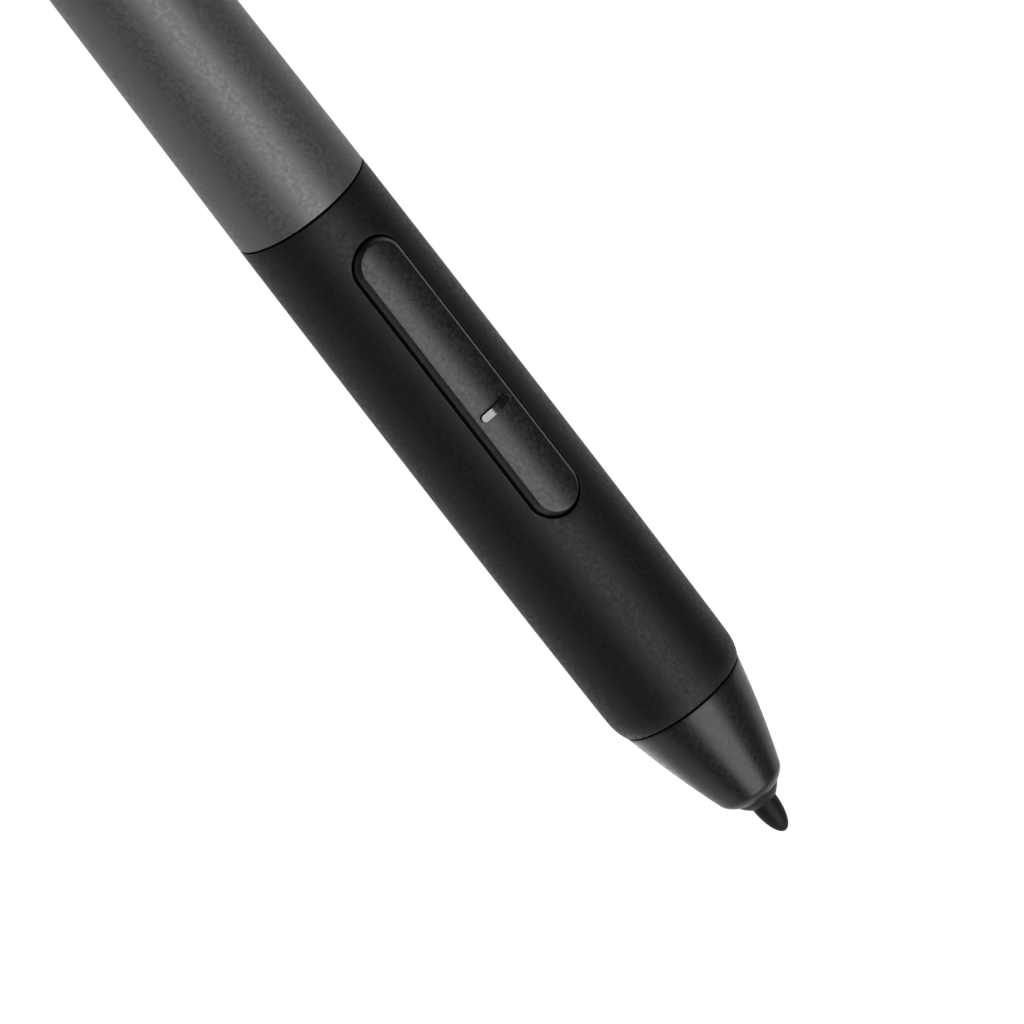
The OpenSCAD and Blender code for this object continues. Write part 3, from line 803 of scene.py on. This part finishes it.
def make_pad():
    """The silicone disc that the nib's holder squeezes, crowned where it is pressed."""
    return turned("pressure_disc", [
        *rounded(PAD_AT, 0, PAD_AT + PAD_CROWN, PAD_R, 12),
        *rounded(PAD_END, PAD_R - RUBBER_ROUND, PAD_END - RUBBER_ROUND, PAD_R)[::-1],
        (PAD_END, 0),
    ])


def rocker_lug():
    """The tongue under the cap that turns on the pin."""
    top = ROCKER_UNDER + LUG_ROOT
    bottom = PIVOT.z - LUG_R
    centre = Vector((PIVOT.x, -LUG_HALF, (top + bottom) / 2))
    lug = pill("rocker_lug", centre, top - bottom, LUG_R)
    bpy.ops.transform.rotate(value=TURN / 4, orient_axis="X", center_override=centre)
    bpy.ops.transform.rotate(value=TURN / 4, orient_axis="Y", center_override=centre)
    extrude(y=2 * LUG_HALF)
    close_up()
    bpy.ops.object.select_all(action="DESELECT")
    bpy.ops.mesh.primitive_cylinder_add(
        vertices=ROUND, radius=PIN_BORE_R, depth=4 * LUG_HALF, location=PIVOT,
        rotation=(TURN / 4, 0, 0),
    )
    combine(lug, named("pin_cutter"), "DIFFERENCE")
    return lug


def rocker_nub(at):
    """The foot that presses one switch."""
    bottom = STEM_TOP + NUB_GAP
    top = ROCKER_UNDER + NUB_ROOT
    bpy.ops.object.select_all(action="DESELECT")
    bpy.ops.mesh.primitive_cylinder_add(
        vertices=ROUND, radius=NUB_R, depth=top - bottom, location=(POINT_X - at, 0, (top + bottom) / 2),
    )
    nub = named("rocker_nub")
    modify(nub, "BEVEL", width=EDGE_ROUND, segments=2)
    return nub


def rib_post(name, margin):
    """An upright post with the rib's outline, so much wider all round, flat on top."""
    centre = (RIB_LOW + RIB_HIGH) / 2
    centre.z = RIB_LOW.z
    length, width = (RIB_HIGH - RIB_LOW).yx
    post = pill(name, centre, length + 2 * margin, width / 2 + margin, cuts=16)
    bpy.ops.transform.rotate(value=TURN / 4, orient_axis="Z", center_override=centre)
    extrude(z=RIB_HIGH.z + MM - RIB_LOW.z)
    return post


def make_rocker():
    """The key: a pill with a crowned top, a slope all round it, a lug, two nubs and the rib's pocket."""
    top = AXIS_Z + CROWN_R
    middle = spot((ROCKER_AT + ROCKER_END) / 2, 0)
    middle.z = ROCKER_UNDER
    length = ROCKER_END - ROCKER_AT
    rings = 7
    rocker = pill("rocker_key", middle, length, ROCKER_HALF, cuts=40)
    extrude(z=top - ROCKER_UNDER)
    bpy.ops.mesh.inset(thickness=EDGE_WIDTH)
    for _ in range(rings):
        bpy.ops.mesh.inset(thickness=(ROCKER_HALF - EDGE_WIDTH) / (rings + 0.5))
    close_up()
    lay(rocker, top, crown_radius)
    straight = length / 2 - ROCKER_HALF

    def on_brim(co):
        past = max(abs(co.x - middle.x) - straight, 0)
        return math.hypot(past, co.y) > ROCKER_HALF - NEAR and co.z > ROCKER_UNDER + MM

    crown_half = ROCKER_HALF - EDGE_WIDTH
    brim = spot(0, math.sqrt(CROWN_R ** 2 - crown_half ** 2) - EDGE_HEIGHT)
    pick(rocker, on_brim)
    bpy.ops.transform.resize(value=(1, 1, 0), center_override=brim)
    bpy.ops.object.mode_set(mode="OBJECT")
    modify(
        rocker, "BEVEL", width=EDGE_ROUND, segments=3, limit_method="ANGLE",
        angle_limit=math.radians(20),
    )
    for part in [rocker_lug(), *(rocker_nub(at) for at in SWITCHES_AT)]:
        combine(rocker, part, "UNION")
    pocket = rib_post("rib_pocket", PRESS_FIT)
    close_up()
    combine(rocker, pocket, "DIFFERENCE")
    return rocker


def make_rib():
    """The raised bar across the crown, over the pivot."""
    width = RIB_HIGH.x - RIB_LOW.x
    rib = rib_post("rocker_bar", 0)
    for _ in range(2):
        bpy.ops.mesh.inset(thickness=width / 6)
    close_up()
    lay(rib, RIB_HIGH.z + MM, rib_radius)
    modify(
        rib, "BEVEL", width=RIB_ROUND, segments=6, limit_method="ANGLE", angle_limit=math.radians(40),
    )
    return rib


target = add_camera()
add_lights(target)
add_floor()

# ABS from a finely eroded mould: a broad, soft band of light
satin_abs = moulded_plastic(
    "satin_moulded_abs", "#0a0a0b", "#0f0f10",
    shine=0.15, roughness=0.52, grain_mm=0.36, relief_mm=0.002, spread=0.08,
)
# ABS from a smoother mould: the band is narrower and brighter, and the rims mirror the floor
gloss_abs = moulded_plastic(
    "polished_abs", "#0f0f10", "#141415",
    shine=0.24, roughness=0.33, grain_mm=0.36, relief_mm=0.0004, spread=0.06,
)
# ABS of the key: a clear band of light with a visible mottle
key_abs = moulded_plastic(
    "fine_grained_abs", "#0e0e0f", "#171718",
    shine=0.3, roughness=0.37, grain_mm=0.36, relief_mm=0.0008, spread=0.085,
)
# Sprayed paint with metal flakes: grey, with a wide highlight that the flakes mottle
paint = moulded_plastic(
    "grey_metallic_paint", "#2a2a2b", "#3a3a3b",
    shine=0.67, roughness=0.49, grain_mm=0.36, relief_mm=0.0008, spread=0.08,
)
# Acetal: dark and waxy, with hardly any highlight
acetal = moulded_plastic(
    "acetal", "#111112", "#161617", shine=0.08, roughness=0.5, grain_mm=0.2, relief_mm=0.0005,
)
# ABS of the collar: dark, with a weak highlight
guide_abs = moulded_plastic(
    "guide_abs", "#101011", "#141415", shine=0.12, roughness=0.45, grain_mm=0.2, relief_mm=0.0005,
)
# Polished insert: mirrors the softbox as a white patch and the room as black
gloss_black = moulded_plastic(
    "gloss_black_insert", "#0c0c0c", "#0e0e0e",
    shine=1.0, roughness=0.1, grain_mm=0.4, relief_mm=0.0001, spread=0.01,
)

# Nylon with glass fibres: dark grey and dull
nylon = moulded_plastic(
    "glass_filled_nylon", "#2a2a2c", "#363638",
    shine=0.4, roughness=0.55, grain_mm=0.25, relief_mm=0.002,
)
# Silicone rubber: pale, cloudy and soft in its shine
silicone = moulded_plastic(
    "silicone_rubber", "#c4bda9", "#cfc9b8", shine=0.35, roughness=0.65, grain_mm=0.3, relief_mm=0.001,
)
# Nylon of the switches' cases: light grey
case_nylon = moulded_plastic(
    "switch_case_nylon", "#b2b2b0", "#bebebc", shine=0.4, roughness=0.5, grain_mm=0.2, relief_mm=0.001,
)
# Nylon of the switches' stems: black
stem_nylon = moulded_plastic(
    "switch_stem_nylon", "#19191a", "#202021", shine=0.4, roughness=0.45, grain_mm=0.2, relief_mm=0.001,
)
# Moulded epoxy: black with a sandy dullness
epoxy = moulded_plastic(
    "moulded_epoxy", "#161618", "#202022", shine=0.35, roughness=0.6, grain_mm=0.06, relief_mm=0.002,
)
# Sintered ferrite: dark, dry and a little rough
ferrite = moulded_plastic(
    "sintered_ferrite", "#302e2d", "#413f3d", shine=0.5, roughness=0.7, grain_mm=0.08, relief_mm=0.003,
)
# Sintered alumina: off-white, smooth as porcelain without its glaze
alumina = moulded_plastic(
    "sintered_alumina", "#d8d2c5", "#e4dfd4", shine=0.5, roughness=0.45, grain_mm=0.1, relief_mm=0.001,
)
steel = bare_metal("ground_steel", "#b8b8ba", "#d2d2d4", roughness=0.25, grain_mm=0.05)
copper = bare_metal("enamelled_copper", "#a5602f", "#c27a44", roughness=0.25, grain_mm=0.1)
winding = wound_wire("wound_copper", "#7a4420", "#c98049", turn_mm=0.15)
laminate = woven_laminate("board_laminate", "#123d24", "#1c5233", weave_mm=0.4)
capacitors = tinned_ceramic(
    "capacitor_ceramic", "#8a6a4c", "#c9c9c6", first_x=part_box("board_capacitors")[1].x,
)

dress(steel, "rocker_pin")
dress(nylon, "chassis", "coil_bobbin", "nib_holder", "sensor_housing", "sensor_cap")
dress(laminate, "circuit_board")
dress(case_nylon, "upper_switch", "lower_switch")
dress(stem_nylon, "upper_switch_stem", "lower_switch_stem")
dress(epoxy, "controller_chip")
dress(capacitors, "board_capacitors")
dress(ferrite, "ferrite_core")
dress(winding, "coil_winding")
dress(copper, "coil_leads")
dress(alumina, "sensor_disc")

finished(make_nib(), acetal, "nib", "nib_acetal", "nib")
finished(make_guide(), guide_abs, "pen", "guide_plastic", "nib_guide")
finished(make_nose(), gloss_abs, "pen", "gloss_shell", "nose_cone")
finished(make_grip(), satin_abs, "pen", "grip_shell", "grip_barrel")
finished(make_rear(), paint, "pen", "painted_shell", "rear_barrel")
finished(make_tail(), gloss_abs, "pen", "gloss_shell", "tail_cap")
finished(make_rocker(), key_abs, "rocker", "rocker_plastic", "rocker_button")
finished(make_rib(), gloss_black, "rocker", "rib_gloss", "rocker_rib")
finished(make_cushion(), silicone, "pen", "silicone", "chassis_cushion")
pad = finished(make_pad(), silicone, "pen", "silicone", "pressure_pad")
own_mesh(pad)
